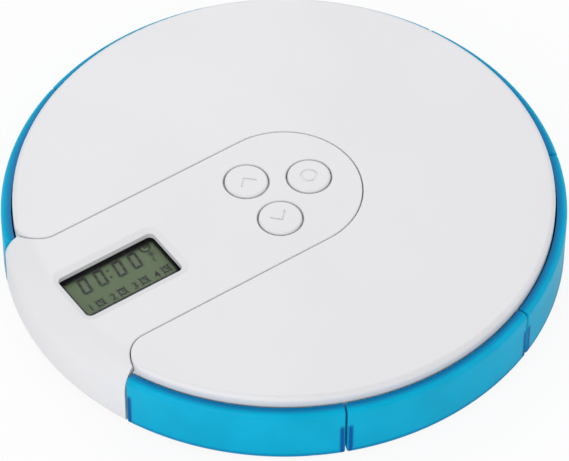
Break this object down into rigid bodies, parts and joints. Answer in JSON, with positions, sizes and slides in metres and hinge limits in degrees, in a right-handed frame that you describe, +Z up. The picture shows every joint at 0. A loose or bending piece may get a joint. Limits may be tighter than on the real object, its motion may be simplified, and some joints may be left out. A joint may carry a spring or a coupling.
{
  "type": "automatic pill dispenser",
  "caption": "Round timer pill dispenser: wedge drawers slide out from under a flat cover, with a display and round buttons on a tongue that runs to the middle.",
  "frame": {"origin": "centre of the round footprint on the plane that the feet rest on", "axes": "+Z up; +X in the reading direction of the display, away from the front section; +Y towards the top of the display's figures"},
  "size_m": [0.14, 0.14, 0.0203],
  "materials": {
    "white_shell": "satin injection-moulded ABS",
    "white_base": "fine-textured ABS",
    "button_white": "satin ABS",
    "blue_translucent": "tinted translucent polystyrene",
    "black_plastic": "moulded",
    "clear_lens": "clear acrylic",
    "display_glass": "olive reflective display",
    "elastomer": "layered silicone",
    "board_laminate": "green solder mask",
    "plated_steel": "nickel plated",
    "cell_jacket": "printed steel can",
    "foot_rubber": "matt",
    "screw_steel": "zinc plated"
  },
  "bodies": {
    "case": {"base_tray": "white_base", "bay_deck": "white_base", "top_cover": "white_shell", "control_housing": "white_shell", "lcd_lens": "clear_lens", "lcd_panel": "display_glass", "zebra_strip": "elastomer", "circuit_board": "board_laminate", "controller_chip": "black_plastic", "quartz_crystal": "plated_steel", "buzzer": "black_plastic", "switch_bodies": "black_plastic", "battery_cell_1": "cell_jacket", "battery_cell_2": "cell_jacket", "battery_springs": "plated_steel", "battery_contacts": "plated_steel", "rubber_feet": "foot_rubber", "housing_screws": "screw_steel", "cover_screws": "screw_steel", "board_screws": "screw_steel"},
    "drawer_1": {"pill_drawer_1": "blue_translucent"},
    "drawer_2": {"pill_drawer_2": "blue_translucent"},
    "drawer_3": {"pill_drawer_3": "blue_translucent"},
    "drawer_4": {"pill_drawer_4": "blue_translucent"},
    "drawer_5": {"pill_drawer_5": "blue_translucent"},
    "drawer_6": {"pill_drawer_6": "blue_translucent"},
    "drawer_7": {"pill_drawer_7": "blue_translucent"},
    "hour_key": {"hour_button": "button_white", "hour_plunger": "black_plastic"},
    "minute_key": {"minute_button": "button_white", "minute_plunger": "black_plastic"},
    "mode_key": {"mode_button": "button_white", "mode_plunger": "black_plastic"},
    "door": {"battery_door": "white_base"}
  },
  "joints": [
    {"name": "drawer_1_slide", "type": "slide", "parent": "case", "child": "drawer_1", "axis": [-0.7071, 0.7071, 0], "range_m": [0, 0.028]},
    {"name": "drawer_2_slide", "type": "slide", "parent": "case", "child": "drawer_2", "axis": [0, 1, 0], "range_m": [0, 0.028]},
    {"name": "drawer_3_slide", "type": "slide", "parent": "case", "child": "drawer_3", "axis": [0.7071, 0.7071, 0], "range_m": [0, 0.028]},
    {"name": "drawer_4_slide", "type": "slide", "parent": "case", "child": "drawer_4", "axis": [1, 0, 0], "range_m": [0, 0.028]},
    {"name": "drawer_5_slide", "type": "slide", "parent": "case", "child": "drawer_5", "axis": [0.7071, -0.7071, 0], "range_m": [0, 0.028]},
    {"name": "drawer_6_slide", "type": "slide", "parent": "case", "child": "drawer_6", "axis": [0, -1, 0], "range_m": [0, 0.028]},
    {"name": "drawer_7_slide", "type": "slide", "parent": "case", "child": "drawer_7", "axis": [-0.7071, -0.7071, 0], "range_m": [0, 0.028]},
    {"name": "hour_press", "type": "slide", "parent": "case", "child": "hour_key", "axis": [0, 0, -1], "range_m": [0, 0.0006], "stiffness_N_per_m": 1500, "springref_m": -0.0003},
    {"name": "minute_press", "type": "slide", "parent": "case", "child": "minute_key", "axis": [0, 0, -1], "range_m": [0, 0.0006], "stiffness_N_per_m": 1500, "springref_m": -0.0003},
    {"name": "mode_press", "type": "slide", "parent": "case", "child": "mode_key", "axis": [0, 0, -1], "range_m": [0, 0.0006], "stiffness_N_per_m": 1500, "springref_m": -0.0003},
    {"name": "door_hinge", "type": "hinge", "parent": "case", "child": "door", "pos_m": [-0.0171, 0, 0.002], "axis": [0, -1, 0], "range_deg": [0, 80]}
  ]
}
